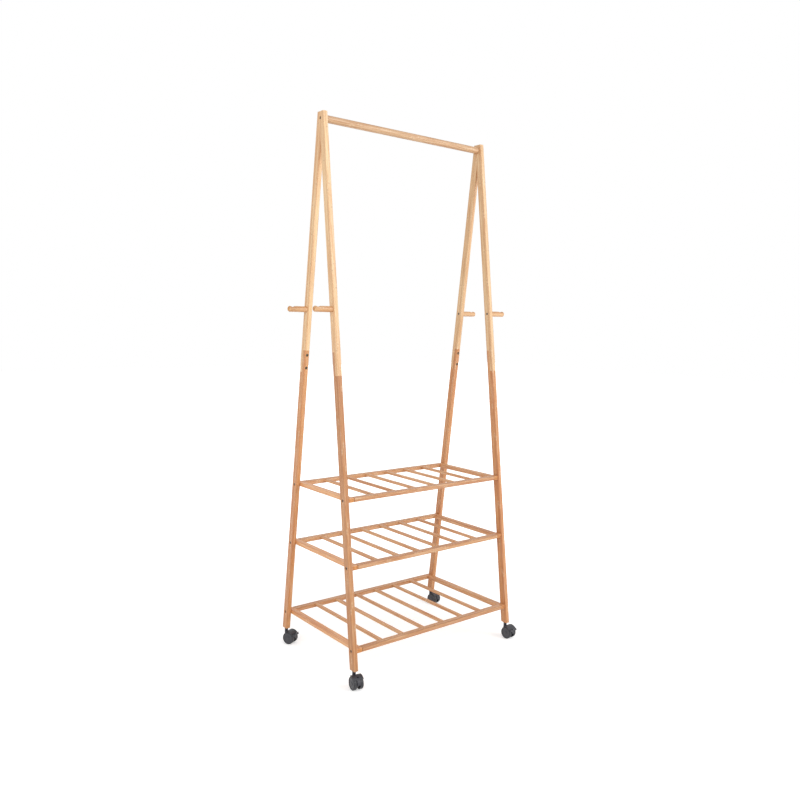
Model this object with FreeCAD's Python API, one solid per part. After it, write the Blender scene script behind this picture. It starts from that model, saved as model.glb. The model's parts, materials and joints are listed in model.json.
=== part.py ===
"""Rolling clothes rack: two bamboo leg frames, a hanging rail, side pegs, three slatted shelves
and four swivel casters. Millimetres, +X along the rail, +Y to the back, +Z up, origin on the
floor under the middle of the rail."""
import FreeCAD, Part
import math
import os

Vector = FreeCAD.Vector
os.makedirs("parts", exist_ok=True)

# ---- overall ----
rack_width = 650.0            # outside of the two leg frames
rack_height = 1685.0          # floor to the flat top of the leg frames
leg_lean = 6.8                # lean of every leg away from upright, degrees
frame_top_width = 32.0        # width of the flat top of a leg frame, front to back

# ---- leg stock ----
leg_thick = 15.0              # across the rack
leg_depth = 25.0              # square to the leg's length
leg_round = 2.0               # rounding of the long edges

# ---- half-lap splice of upper and lower leg ----
upper_leg_length = 776.0      # along the leg, top to the outer seam
lap_length = 70.0
splice_bolt_spacing = 40.0
splice_bolt_d = 5.0
splice_head_d = 9.0
splice_head_t = 4.0
splice_head_sink = 0.6        # head below the wood face

# ---- hanging rail ----
rail_d = 22.0
rail_drop = 19.0              # frame top to the rail's centre
rail_end_round = 0.6
rail_screw_d = 5.0
rail_screw_grip = 45.0        # length inside the rail

# ---- side pegs ----
peg_above_splice = 124.0      # inner seam of the splice to the peg's centre
peg_d = 18.0
peg_reach = 63.0              # leg face to peg tip
peg_tip_round = 6.0
peg_saddle_from_tip = 15.0
peg_saddle_r = 12.0
peg_saddle_depth = 3.5
peg_screw_d = 5.0
peg_screw_grip = 32.0

# ---- shelves ----
top_shelf_height = 555.0      # floor to the top face of each shelf's frame
middle_shelf_height = 357.0
bottom_shelf_height = 114.5
shelf_rail_width = 20.0
shelf_rail_thick = 13.0
shelf_set_back = 1.0          # shelf front behind the leg's outer face
shelf_corner_round = 4.0
shelf_edge_round = 1.5
slat_count = 6
slat_width = 13.0
slat_thick = 8.0
slat_drop = 1.0               # slat top below the shelf's top face
slat_round = 1.2
tenon_shrink = 1.5            # tenon smaller than the slat on every side
tenon_length = 8.0

# ---- hardware ----
screw_head_d = 8.5
screw_head_t = 4.5
screw_head_sink = 1.5         # head below the wood face
head_hole_clearance = 0.4     # on the diameter of a counterbore
hole_clearance = 0.3          # on the diameter of a through hole
thread_clearance = 0.1        # on the diameter, screw in insert and insert in wood
drive_d = 4.0                 # hex socket across corners
drive_depth = 2.2
insert_d = 8.0
shelf_bolt_d = 5.0
shelf_insert_length = 12.0
splice_insert_length = 9.0
dowel_d = 6.0
dowel_insert_wall = 1.0       # wood left between a corner dowel and the shelf insert
dowel_into_long_rail = 16.0
mitre_dowel_drop = 58.0       # frame top to the dowel across the mitre
mitre_dowel_length = 26.0
mitre_dowel_slack = 0.3       # empty bore at each end of the dowel
screw_end_short = 1.0         # screw ends this far short of its insert's end
pilot_extra = 1.0             # pilot hole deeper than its screw
screw_head_round = 0.5

# ---- caster ----
wheel_d = 40.0
wheel_width = 11.0
wheel_gap = 11.0              # between the two wheels
wheel_shoulder_round = 3.0
wheel_rim = 3.2               # tread ring left around the sunken outer face
wheel_face_sink = 1.2
wheel_hub_d = 12.0
wheel_inner_round = 1.0
wheel_face_round = 0.5
wheel_face_wall = 1.6         # blind end of the wheel's bore
wheel_hollow = 6.0            # depth of the hollow inner side
caster_trail = 16.0           # swivel axis to axle
axle_d = 5.0
axle_running_clearance = 0.1  # on the diameter
axle_end_clearance = 0.3
swivel_pin_d = 6.0
swivel_running_clearance = 0.1
swivel_pin_depth = 22.0       # inside the hood
hood_body_clearance = 0.5     # hood centre to each wheel
hood_boss_d = 11.0
swivel_face_gap = 0.3         # hood top to the stem's collar
hood_neck = 5.3               # boss above the fender
fender_gap = 0.9              # wheel tread to fender
fender_thick = 2.0
fender_from = 42.0            # degrees above level behind the axle, over the top to fender_to
fender_to = 118.0
hood_core_d = 28.0            # hood centre disc around the axle
stem_collar_d = 12.0
stem_collar_t = 2.5
stem_thread_d = 6.0
stem_thread_length = 16.0
stem_insert_d = 9.5
stem_insert_length = 18.0
brake_pivot_from_tread = 4.2  # wheel tread to the lever's pin centre
brake_pivot_angle = 30.0      # degrees above level behind the axle
brake_pin_d = 3.0
brake_hub_d = 6.4
brake_width = 29.0
brake_side_clearance = 0.4
brake_travel = 30.0           # degrees, pressed down
brake_nose_length = 4.0       # pin centre to the cam nose
brake_nose_thick = 2.4
brake_tab_length = 10.5       # pin centre to the tab's end
brake_tab_width = 16.0
brake_tab_thick = 2.2
brake_tab_angle = 55.0        # degrees above level, brake off
lever_slot_d = 5.0            # moulding hole in the fender of a hood without a brake
lever_slot_angle = 62.0

# swivel direction at rest: degrees clockwise from the back, seen from above, that the wheels trail
trail_heading = {
    "left_back": 155.0,
    "left_front": 190.0,
    "right_back": 168.0,
    "right_front": 177.0,
}
braked_casters = ("left_back", "right_front")

# ---- worked out from the sizes above, with three making allowances ----
cut_over = 1.0                # how far a cutting shape runs past the face it cuts
same_place = 0.01             # edges nearer than this to a face lie on it
leg_overrun = 20.0            # spare leg length that the level cuts take off
lean = math.radians(leg_lean)
half_width = rack_width / 2
inner_face = half_width - leg_thick
leg_middle_x = half_width - leg_thick / 2
leg_depth_level = leg_depth / math.cos(lean)
rail_height = rack_height - rail_drop
side_rail_inner = inner_face - shelf_rail_width
leg_foot_height = (wheel_d + fender_gap + fender_thick + hood_neck
                   + swivel_face_gap + stem_collar_t)
hood_top = leg_foot_height - stem_collar_t - swivel_face_gap
lap_start = upper_leg_length - lap_length
splice_bolt_rows = [upper_leg_length - lap_length / 2 + k * splice_bolt_spacing / 2 for k in (-1, 1)]
peg_height = rack_height - lap_start * math.cos(lean) + peg_above_splice
mitre_dowel_height = rack_height - mitre_dowel_drop
dowel_into_side_rail = shelf_rail_width - shelf_insert_length - dowel_insert_wall
shelf_heights = {
    "top": top_shelf_height,
    "middle": middle_shelf_height,
    "bottom": bottom_shelf_height,
}
corners = [(side, end) for side in ("left", "right") for end in ("front", "back")]


def leg_outer_y(z):
    """Distance of a leg's outer face from the middle plane at height z."""
    return frame_top_width / 2 + (rack_height - z) * math.tan(lean)


def leg_middle_y(z):
    return leg_outer_y(z) - leg_depth_level / 2


def save(name, shape):
    shape.exportStep("parts/" + name + ".step")


def to_corner(shape, side, end):
    """Carry a shape made for the right back corner to another corner by mirroring."""
    if side == "left":
        shape = shape.mirror(Vector(0, 0, 0), Vector(1, 0, 0))
    if end == "front":
        shape = shape.mirror(Vector(0, 0, 0), Vector(0, 1, 0))
    return shape


def at_every_corner(shape):
    return Part.makeCompound([to_corner(shape, side, end) for side, end in corners])


def on_both_sides(shape):
    return Part.makeCompound([shape, to_corner(shape, "left", "back")])


def rounded_bar(corner, size, radius, along):
    """Box with its edges along one direction rounded."""
    bar = Part.makeBox(size[0], size[1], size[2], corner)
    direction = Vector(along == "x", along == "y", along == "z")
    edges = [e for e in bar.Edges if abs(e.tangentAt(e.FirstParameter).dot(direction)) > 0.99]
    return bar.makeFillet(radius, edges)


def rod(diameter, start, direction, length):
    return Part.makeCylinder(diameter / 2, length, start, direction)


# ---------------------------------------------------------------- legs
def lean_into_place(shape):
    """Leg frame: z runs up the leg from its top outer edge, y is outward across its depth."""
    shape.rotate(Vector(0, 0, 0), Vector(1, 0, 0), leg_lean)
    shape.translate(Vector(0, frame_top_width / 2, rack_height))
    return shape


def leg_stock(top, bottom, depth_from, depth_to):
    """Plain leg bar between two distances down the leg, in the leg's own frame."""
    corner = Vector(inner_face, -depth_from, -bottom)
    return Part.makeBox(leg_thick, depth_from - depth_to, bottom - top, corner)


def full_leg(top, bottom):
    corner = Vector(inner_face, -leg_depth, -bottom)
    return rounded_bar(corner, (leg_thick, leg_depth, bottom - top), leg_round, "z")


def splice_holes():
    """Bolt holes through the inner tongue, head pockets and insert holes in the outer tongue."""
    cuts = []
    for row in splice_bolt_rows:
        start = Vector(leg_middle_x, -leg_depth, -row)
        out = Vector(0, 1, 0)
        head_pocket = splice_head_t + splice_head_sink
        cuts.append(rod(splice_head_d + head_hole_clearance, start, out, head_pocket))
        cuts.append(rod(splice_bolt_d + hole_clearance, start, out, leg_depth / 2))
        middle = Vector(leg_middle_x, -leg_depth / 2, -row)
        cuts.append(rod(insert_d + thread_clearance, middle, out, splice_insert_length))
    return Part.makeCompound(cuts)


def cross_hole(y, z, grip_from):
    """Screw hole across a leg at its middle, with the head pocket on one face."""
    if grip_from == "outside":
        start, direction = Vector(half_width, y, z), Vector(-1, 0, 0)
    else:
        start, direction = Vector(inner_face, y, z), Vector(1, 0, 0)
    pocket = rod(screw_head_d + head_hole_clearance, start, direction,
                 screw_head_t + screw_head_sink)
    through = rod(shelf_bolt_d + hole_clearance, start, direction, leg_thick)
    return pocket.fuse(through)


def upper_leg():
    leg = full_leg(-leg_overrun, upper_leg_length)
    leg = leg.cut(leg_stock(lap_start, upper_leg_length + cut_over, leg_depth + cut_over, leg_depth / 2))
    leg = lean_into_place(leg.cut(splice_holes()))
    over = Part.makeBox(rack_width, rack_width, leg_overrun * 3,
                        Vector(0, -rack_width / 2, rack_height))
    beyond = Part.makeBox(rack_width, rack_width, rack_height * 2, Vector(0, -rack_width, 0))
    leg = leg.cut(over).cut(beyond)
    leg = leg.cut(cross_hole(leg_middle_y(peg_height), peg_height, "inside"))
    leg = leg.cut(cross_hole(0, rail_height, "outside"))
    mitre_dowel_hole = rod(dowel_d + thread_clearance, Vector(leg_middle_x, 0, mitre_dowel_height),
                           Vector(0, 1, 0), mitre_dowel_length / 2)
    return leg.cut(mitre_dowel_hole)


def lower_leg():
    length = (rack_height - leg_foot_height) / math.cos(lean) + leg_overrun
    leg = full_leg(lap_start, length)
    leg = leg.cut(leg_stock(lap_start - cut_over, upper_leg_length, leg_depth / 2, -cut_over))
    leg = lean_into_place(leg.cut(splice_holes()))
    under = Part.makeBox(rack_width, rack_width * 2, leg_overrun * 3,
                         Vector(0, -rack_width, leg_foot_height - leg_overrun * 3))
    leg = leg.cut(under)
    for height in shelf_heights.values():
        z = height - shelf_rail_thick / 2
        leg = leg.cut(cross_hole(leg_middle_y(z), z, "outside"))
    foot_hole = rod(stem_insert_d + thread_clearance, caster_foot(), Vector(0, 0, 1),
                    stem_insert_length)
    return leg.cut(foot_hole)


def caster_foot():
    """Middle of the sawn foot of the right back leg."""
    return Vector(leg_middle_x, leg_middle_y(leg_foot_height), leg_foot_height)


# ---------------------------------------------------------------- fasteners
def socket_screw(start, direction, head_d, head_t, shank_d, shank_length):
    """Cylinder-head screw with a hex drive; start is the middle of the head's outer face."""
    head = rod(head_d, start, direction, head_t)
    head = head.makeFillet(screw_head_round, [e for e in head.Edges if e.Closed])
    shank = rod(shank_d, start + direction * head_t, direction, shank_length)
    turns = [k * math.pi / 3 for k in range(7)]
    points = [Vector(drive_d / 2 * math.cos(a), drive_d / 2 * math.sin(a), 0) for a in turns]
    drive = Part.Face(Part.makePolygon(points)).extrude(Vector(0, 0, drive_depth))
    drive.Placement = FreeCAD.Placement(start, FreeCAD.Rotation(Vector(0, 0, 1), direction))
    return head.fuse(shank).cut(drive)


def insert_nut(start, direction, diameter, length, bore_d):
    """Threaded insert, open at both ends."""
    return rod(diameter, start, direction, length).cut(
        rod(bore_d + thread_clearance, start, direction, length))


def splice_hardware():
    """Two bolts and two inserts of one splice, at the right back corner."""
    bolts, inserts = [], []
    for row in splice_bolt_rows:
        out = Vector(0, 1, 0)
        head_face = Vector(leg_middle_x, -leg_depth + splice_head_sink, -row)
        shank = (leg_depth / 2 - splice_head_t - splice_head_sink
                 + splice_insert_length - screw_end_short)
        bolts.append(socket_screw(head_face, out, splice_head_d, splice_head_t, splice_bolt_d, shank))
        middle = Vector(leg_middle_x, -leg_depth / 2, -row)
        inserts.append(insert_nut(middle, out, insert_d, splice_insert_length, splice_bolt_d))
    return lean_into_place(Part.makeCompound(bolts)), lean_into_place(Part.makeCompound(inserts))


def outside_screw(y, z, shank_d, grip):
    """Screw driven inward from the leg's outside face, reaching grip past the inner face."""
    start = Vector(half_width - screw_head_sink, y, z)
    shank = leg_thick - screw_head_sink - screw_head_t + grip
    return socket_screw(start, Vector(-1, 0, 0), screw_head_d, screw_head_t, shank_d, shank)


def peg_screw():
    start = Vector(inner_face + screw_head_sink, leg_middle_y(peg_height), peg_height)
    shank = leg_thick - screw_head_sink - screw_head_t + peg_screw_grip
    return socket_screw(start, Vector(1, 0, 0), screw_head_d, screw_head_t, peg_screw_d, shank)


# ---------------------------------------------------------------- rail and pegs
def hanging_rail():
    bar = rod(rail_d, Vector(-inner_face, 0, rail_height), Vector(1, 0, 0), inner_face * 2)
    bar = bar.makeFillet(rail_end_round, [e for e in bar.Edges if e.Closed])
    pilot = rail_screw_d + thread_clearance
    for sign in (-1, 1):
        hole = rod(pilot, Vector(sign * inner_face, 0, rail_height), Vector(-sign, 0, 0),
                   rail_screw_grip + pilot_extra)
        bar = bar.cut(hole)
    return bar


def side_peg():
    """Turned peg with a domed tip and a shallow saddle on top for a hanger or strap."""
    y, z = leg_middle_y(peg_height), peg_height
    out = Vector(1, 0, 0)
    peg = rod(peg_d, Vector(half_width, y, z), out, peg_reach)
    tip = [e for e in peg.Edges if e.Closed and e.CenterOfMass.x > half_width + peg_reach / 2]
    peg = peg.makeFillet(peg_tip_round, tip)
    saddle_x = half_width + peg_reach - peg_saddle_from_tip
    saddle_z = z + peg_d / 2 - peg_saddle_depth + peg_saddle_r
    saddle = rod(peg_saddle_r * 2, Vector(saddle_x, y - peg_d, saddle_z), Vector(0, 1, 0), peg_d * 2)
    pilot = rod(peg_screw_d + thread_clearance, Vector(half_width, y, z), out,
                peg_screw_grip + pilot_extra)
    return peg.cut(saddle).cut(pilot)


# ---------------------------------------------------------------- shelves
def shelf_half_depth(height):
    return leg_outer_y(height - shelf_rail_thick / 2) - shelf_set_back


def long_rail_middle_y(height):
    return shelf_half_depth(height) - shelf_rail_width / 2


def corner_dowel(height, clearance):
    """Dowel between the right side rail and the back long rail."""
    start = Vector(side_rail_inner + dowel_into_side_rail, long_rail_middle_y(height),
                   height - shelf_rail_thick / 2)
    return rod(dowel_d + clearance, start, Vector(-1, 0, 0),
               dowel_into_side_rail + dowel_into_long_rail)


def side_rail(height):
    half_depth = shelf_half_depth(height)
    corner = Vector(side_rail_inner, -half_depth, height - shelf_rail_thick)
    bar = rounded_bar(corner, (shelf_rail_width, half_depth * 2, shelf_rail_thick),
                      shelf_corner_round, "z")
    rims = [e for e in bar.Edges if abs(e.CenterOfMass.z - height) < same_place
            or abs(e.CenterOfMass.z - height + shelf_rail_thick) < same_place]
    bar = bar.makeFillet(shelf_edge_round, rims)
    z = height - shelf_rail_thick / 2
    for end in ("front", "back"):
        start = Vector(inner_face, leg_middle_y(z), z)
        hole = rod(insert_d + thread_clearance, start, Vector(-1, 0, 0), shelf_insert_length)
        bar = bar.cut(to_corner(hole, "right", end))
        bar = bar.cut(to_corner(corner_dowel(height, thread_clearance), "right", end))
    return bar


def slat_centres():
    """Slats stand at equal steps across the opening between the side rails."""
    step = side_rail_inner * 2 / (slat_count + 1)
    return [-side_rail_inner + step * (k + 1) for k in range(slat_count)]


def long_rail(height):
    """Back rail of a shelf, with mortises for the slats."""
    half_depth = shelf_half_depth(height)
    corner = Vector(-side_rail_inner, half_depth - shelf_rail_width, height - shelf_rail_thick)
    bar = rounded_bar(corner, (side_rail_inner * 2, shelf_rail_width, shelf_rail_thick),
                      shelf_edge_round, "x")
    for x in slat_centres():
        bar = bar.cut(slat_tenon(x, height, half_depth - shelf_rail_width, thread_clearance))
    for side in ("left", "right"):
        bar = bar.cut(to_corner(corner_dowel(height, thread_clearance), side, "back"))
    return bar


def slat_tenon(x, height, y, clearance):
    width = slat_width - 2 * tenon_shrink + clearance
    thick = slat_thick - 2 * tenon_shrink + clearance
    middle_z = height - slat_drop - slat_thick / 2
    corner = Vector(x - width / 2, y, middle_z - thick / 2)
    return Part.makeBox(width, tenon_length + clearance, thick, corner)


def slat(x, height):
    between = shelf_half_depth(height) - shelf_rail_width
    corner = Vector(x - slat_width / 2, -between, height - slat_drop - slat_thick)
    bar = rounded_bar(corner, (slat_width, between * 2, slat_thick), slat_round, "y")
    tenon = slat_tenon(x, height, between, 0)
    return bar.fuse(tenon).fuse(to_corner(tenon, "right", "front")).removeSplitter()


def slats(height):
    return Part.makeCompound([slat(x, height) for x in slat_centres()])


# ---------------------------------------------------------------- casters
# Caster frame: swivel axis on z, floor at z 0, the wheels trail towards +x.
axle_height = wheel_d / 2
hood_width = wheel_gap + 2 * wheel_width
fender_inner = wheel_d / 2 + fender_gap
fender_outer = fender_inner + fender_thick
hood_body_width = wheel_gap - 2 * hood_body_clearance


def around_axle(radius, angle):
    """Point in the caster's side view, at an angle above level behind the axle."""
    return Vector(caster_trail + radius * math.cos(math.radians(angle)), 0,
                  axle_height + radius * math.sin(math.radians(angle)))


def ring_sector(inner, outer, angle_from, angle_to, width):
    """Curved shell around the axle, centred across the caster."""
    middle = (angle_from + angle_to) / 2
    edges = [
        Part.Arc(around_axle(outer, angle_from), around_axle(outer, middle),
                 around_axle(outer, angle_to)).toShape(),
        Part.makeLine(around_axle(outer, angle_to), around_axle(inner, angle_to)),
        Part.Arc(around_axle(inner, angle_to), around_axle(inner, middle),
                 around_axle(inner, angle_from)).toShape(),
        Part.makeLine(around_axle(inner, angle_from), around_axle(outer, angle_from)),
    ]
    face = Part.Face(Part.Wire(edges))
    shell = face.extrude(Vector(0, width, 0))
    shell.translate(Vector(0, -width / 2, 0))
    return shell


def across(diameter, centre, width):
    """Cylinder across the caster, centred on its middle plane."""
    return rod(diameter, centre - Vector(0, width / 2, 0), Vector(0, 1, 0), width)


axle_centre = Vector(caster_trail, 0, axle_height)
brake_pivot = around_axle(wheel_d / 2 + brake_pivot_from_tread, brake_pivot_angle)


def hood(braked):
    """Body between the wheels: centre disc, web, swivel boss and the fender over the treads."""
    body = across(hood_core_d, axle_centre, hood_body_width)
    quarter = Part.makeBox(caster_trail + wheel_d, hood_body_width, wheel_d,
                           Vector(0, -hood_body_width / 2, axle_height))
    web = across(fender_inner * 2 + fender_thick, axle_centre, hood_body_width).common(quarter)
    boss_foot = hood_top - swivel_pin_depth - 2 * swivel_face_gap - fender_thick
    boss = rod(hood_boss_d, Vector(0, 0, boss_foot), Vector(0, 0, 1), hood_top - boss_foot)
    beside_wheels = Part.makeBox(wheel_d * 2, hood_width, axle_height + fender_inner,
                                 Vector(-wheel_d, hood_body_width / 2, 0))
    boss = boss.cut(beside_wheels).cut(beside_wheels.mirror(Vector(0, 0, 0), Vector(0, 1, 0)))
    fender = ring_sector(fender_inner, fender_outer, fender_from, fender_to, hood_width)
    body = body.fuse([web, boss, fender])
    if braked:
        body = body.fuse(across(brake_hub_d, brake_pivot, hood_body_width))
        body = body.fuse(across(brake_pin_d, brake_pivot, brake_width))
    else:
        slot_out = around_axle(fender_outer + cut_over, lever_slot_angle)
        slot_in = around_axle(fender_outer - fender_thick * 2, lever_slot_angle)
        body = body.cut(rod(lever_slot_d, slot_out, slot_in - slot_out, (slot_in - slot_out).Length))
    axle_hole = across(axle_d + thread_clearance, axle_centre, hood_width)
    pin_hole = rod(swivel_pin_d + swivel_running_clearance,
                   Vector(0, 0, hood_top - swivel_pin_depth - swivel_face_gap), Vector(0, 0, 1),
                   swivel_pin_depth + swivel_face_gap + cut_over)
    return body.cut(axle_hole).cut(pin_hole).removeSplitter()


def axle():
    return across(axle_d, axle_centre, hood_width - 2 * wheel_face_wall)


def wheel(sign):
    """Solid twin wheel: rounded tread, sunken outer face with a hub, hollow inner side."""
    inner, outer = wheel_gap / 2, hood_width / 2
    radius, rim = wheel_d / 2, wheel_d / 2 - wheel_rim
    out = Vector(0, 1, 0)
    centre = Vector(caster_trail, 0, axle_height)
    disc = rod(wheel_d, centre + out * inner, out, wheel_width)
    disc = disc.makeFillet(wheel_shoulder_round, [e for e in disc.Edges if e.Closed
                                                  and e.CenterOfMass.y > outer - same_place])
    disc = disc.makeFillet(wheel_inner_round, [e for e in disc.Edges if e.Closed
                                               and e.CenterOfMass.y < inner + same_place])
    face = rod(rim * 2, centre + out * (outer - wheel_face_sink), out, wheel_face_sink + cut_over)
    hub = rod(wheel_hub_d, centre + out * (outer - wheel_face_sink), out, wheel_face_sink)
    hollow = rod(rim * 2, centre + out * inner, out, wheel_hollow).cut(
        rod(wheel_hub_d, centre + out * inner, out, wheel_hollow))
    bore = rod(axle_d + axle_running_clearance, centre + out * (inner - cut_over), out,
               wheel_width + cut_over - wheel_face_wall + axle_end_clearance)
    disc = disc.cut(face.cut(hub)).cut(hollow).cut(bore)
    ring_edges = [e for e in disc.Edges if e.Closed and abs(e.CenterOfMass.y - outer) < same_place]
    disc = disc.makeFillet(wheel_face_round, ring_edges)
    if sign < 0:
        disc = disc.mirror(Vector(0, 0, 0), Vector(0, 1, 0))
    return disc


def brake_lever():
    """Foot lever on the hood's pin: a tab to press and a cam nose over each tread."""
    side_from = hood_body_width / 2 + brake_side_clearance
    tube_length = brake_width / 2 - side_from
    nose_angle = 180 + brake_pivot_angle + brake_travel
    lever = None
    for sign in (-1, 1):
        tube = rod(brake_hub_d, brake_pivot + Vector(0, sign * side_from, 0), Vector(0, sign, 0),
                   tube_length)
        nose = lever_plate(0, brake_nose_length, brake_nose_thick, side_from, brake_width / 2, sign,
                           nose_angle)
        cheek = lever_plate(0, brake_tab_length, brake_tab_thick, side_from, brake_tab_width / 2,
                            sign, brake_tab_angle)
        side = tube.fuse([nose, cheek])
        lever = side if lever is None else lever.fuse(side)
    bridge_from = brake_hub_d / 2 + brake_side_clearance
    bridge = lever_plate(bridge_from, brake_tab_length, brake_tab_thick, -brake_tab_width / 2,
                         brake_tab_width / 2, 1, brake_tab_angle)
    pin_hole = across(brake_pin_d + axle_running_clearance, brake_pivot, brake_width + 2 * cut_over)
    return lever.fuse(bridge).cut(pin_hole).removeSplitter()


def lever_plate(near, far, thick, y_from, y_to, sign, angle):
    """Flat plate reaching out from the lever's pin at an angle above level."""
    width = y_to - y_from
    plate = Part.makeBox(far - near, width, thick, Vector(near, 0, -thick / 2))
    plate.rotate(Vector(0, 0, 0), Vector(0, 1, 0), -angle)
    y = y_from if sign > 0 else -y_to
    plate.translate(brake_pivot + Vector(0, y, 0))
    return plate


def stem():
    """Fixed stem: thread in the leg, collar under the foot, swivel pin down into the hood."""
    up = Vector(0, 0, 1)
    pin = rod(swivel_pin_d, Vector(0, 0, hood_top - swivel_pin_depth), up,
              leg_foot_height - hood_top + swivel_pin_depth)
    collar = rod(stem_collar_d, Vector(0, 0, leg_foot_height - stem_collar_t), up, stem_collar_t)
    thread = rod(stem_thread_d, Vector(0, 0, leg_foot_height), up, stem_thread_length)
    return pin.fuse([collar, thread]).removeSplitter()


def caster_to_corner(shape, corner):
    """Turn a caster piece to its rest heading and carry it under its leg."""
    side, end = corner.split("_")
    shape.rotate(Vector(0, 0, 0), Vector(0, 0, 1), 90 - trail_heading[corner])
    foot = caster_foot()
    x = foot.x if side == "right" else -foot.x
    y = foot.y if end == "back" else -foot.y
    shape.translate(Vector(x, y, 0))
    return shape


# ---------------------------------------------------------------- write every piece
def save_legs():
    upper, lower = upper_leg(), lower_leg()
    for side, end in corners:
        save("upper_leg_" + side + "_" + end, to_corner(upper, side, end))
        save("lower_leg_" + side + "_" + end, to_corner(lower, side, end))


def save_rail_and_pegs():
    save("hanging_rail", hanging_rail())
    for side, end in corners:
        save("side_peg_" + side + "_" + end, to_corner(side_peg(), side, end))


def save_shelves():
    for name, height in shelf_heights.items():
        right, back = side_rail(height), long_rail(height)
        save(name + "_shelf_right_rail", right)
        save(name + "_shelf_left_rail", to_corner(right, "left", "back"))
        save(name + "_shelf_back_rail", back)
        save(name + "_shelf_front_rail", to_corner(back, "right", "front"))
        save(name + "_shelf_slats", slats(height))


def shelf_hardware():
    """Screws, inserts and corner dowels of all three shelves at the right back corner."""
    screws, inserts, dowels = [], [], []
    for height in shelf_heights.values():
        z = height - shelf_rail_thick / 2
        y = leg_middle_y(z)
        screws.append(outside_screw(y, z, shelf_bolt_d, shelf_insert_length - screw_end_short))
        inserts.append(insert_nut(Vector(inner_face, y, z), Vector(-1, 0, 0), insert_d,
                                  shelf_insert_length, shelf_bolt_d))
        dowels.append(corner_dowel(height, 0))
    return [Part.makeCompound(group) for group in (screws, inserts, dowels)]


def save_hardware():
    bolts, inserts = splice_hardware()
    save("splice_bolts", at_every_corner(bolts))
    save("splice_inserts", at_every_corner(inserts))
    screws, inserts, dowels = shelf_hardware()
    save("shelf_screws", at_every_corner(screws))
    save("shelf_inserts", at_every_corner(inserts))
    save("shelf_corner_dowels", at_every_corner(dowels))
    save("peg_screws", at_every_corner(peg_screw()))
    rail_screw = outside_screw(0, rail_height, rail_screw_d, rail_screw_grip)
    save("rail_screws", on_both_sides(rail_screw))
    dowel_length = mitre_dowel_length - 2 * mitre_dowel_slack
    mitre_dowel = rod(dowel_d, Vector(leg_middle_x, -dowel_length / 2, mitre_dowel_height),
                      Vector(0, 1, 0), dowel_length)
    save("mitre_dowels", on_both_sides(mitre_dowel))


def save_casters():
    save("caster_stem_inserts", at_every_corner(insert_nut(caster_foot(), Vector(0, 0, 1),
                                                          stem_insert_d, stem_insert_length,
                                                          stem_thread_d)))
    save("caster_stems", Part.makeCompound([caster_to_corner(stem(), c) for c in trail_heading]))
    for corner in trail_heading:
        braked = corner in braked_casters
        prefix = "caster_" + corner + "_"
        save(prefix + "hood", caster_to_corner(hood(braked), corner))
        save(prefix + "axle", caster_to_corner(axle(), corner))
        save(prefix + "wheel_1", caster_to_corner(wheel(1), corner))
        save(prefix + "wheel_2", caster_to_corner(wheel(-1), corner))
        if braked:
            save(prefix + "brake_lever", caster_to_corner(brake_lever(), corner))


save_legs()
save_rail_and_pegs()
save_shelves()
save_hardware()
save_casters()
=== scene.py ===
"""Looks of the rolling clothes rack: lacquered bamboo, black nylon casters, zinc-plated screws."""
import json
import math

import bpy
from mathutils import Matrix, Vector


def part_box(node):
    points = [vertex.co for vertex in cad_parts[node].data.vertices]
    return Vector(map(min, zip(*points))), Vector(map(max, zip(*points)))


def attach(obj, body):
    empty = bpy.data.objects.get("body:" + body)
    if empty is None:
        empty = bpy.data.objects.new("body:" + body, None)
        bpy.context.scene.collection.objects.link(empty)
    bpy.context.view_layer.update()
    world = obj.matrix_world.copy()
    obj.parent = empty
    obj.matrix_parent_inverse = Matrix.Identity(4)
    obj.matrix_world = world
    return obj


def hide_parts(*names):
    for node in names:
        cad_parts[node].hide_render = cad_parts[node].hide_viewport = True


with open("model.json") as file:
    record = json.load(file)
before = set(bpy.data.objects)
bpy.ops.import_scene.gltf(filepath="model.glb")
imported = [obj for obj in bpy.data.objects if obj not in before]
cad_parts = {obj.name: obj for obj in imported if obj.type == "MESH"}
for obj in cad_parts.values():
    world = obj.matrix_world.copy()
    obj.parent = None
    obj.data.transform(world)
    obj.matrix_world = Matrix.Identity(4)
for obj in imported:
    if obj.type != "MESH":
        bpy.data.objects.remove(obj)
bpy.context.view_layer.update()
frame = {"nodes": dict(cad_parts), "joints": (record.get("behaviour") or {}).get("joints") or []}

bl_info = {
    "name": "Rolling Clothes Rack",
    "version": (1, 0, 0),
    "blender": (4, 5, 0),
    "location": "3D View > Sidebar > Rack",
    "description": "Bamboo, nylon and steel finishes, slats and screws of a rolling clothes rack",
    "category": "Object",
}

NODES = frame["nodes"]
SIDES = ("left", "right")
ENDS = ("front", "back")
SHELVES = ("top", "middle", "bottom")
LEG_LEAN = 6.8                    # degrees, as in the frame
MM = 0.001


# ------------------------------------------------------------------ small helpers
def linear(hex_colour):
    """Turns an sRGB hex colour into linear values."""
    values = [int(hex_colour[k:k + 2], 16) / 255 for k in (1, 3, 5)]
    values = [v / 12.92 if v <= 0.04045 else ((v + 0.055) / 1.055) ** 2.4 for v in values]
    return tuple(values) + (1.0,)


def add(tree, kind, inputs=(), **settings):
    """Adds a node with its settings, then sets or links its inputs, given in order or by name. A
    node given as an input stands for its first output in use, and a list goes to one socket."""
    node = tree.nodes.new(kind)
    for name, value in settings.items():
        setattr(node, name, value)
    for name, value in inputs.items() if isinstance(inputs, dict) else enumerate(inputs):
        for source in value if isinstance(value, list) else [value]:
            if isinstance(source, bpy.types.Node):
                source = next(socket for socket in source.outputs if socket.enabled)
            if isinstance(source, bpy.types.NodeSocket):
                tree.links.new(source, node.inputs[name])
            else:
                node.inputs[name].default_value = source
    return node


def dress(obj, material):
    obj.data.materials.clear()
    obj.data.materials.append(material)


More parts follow.
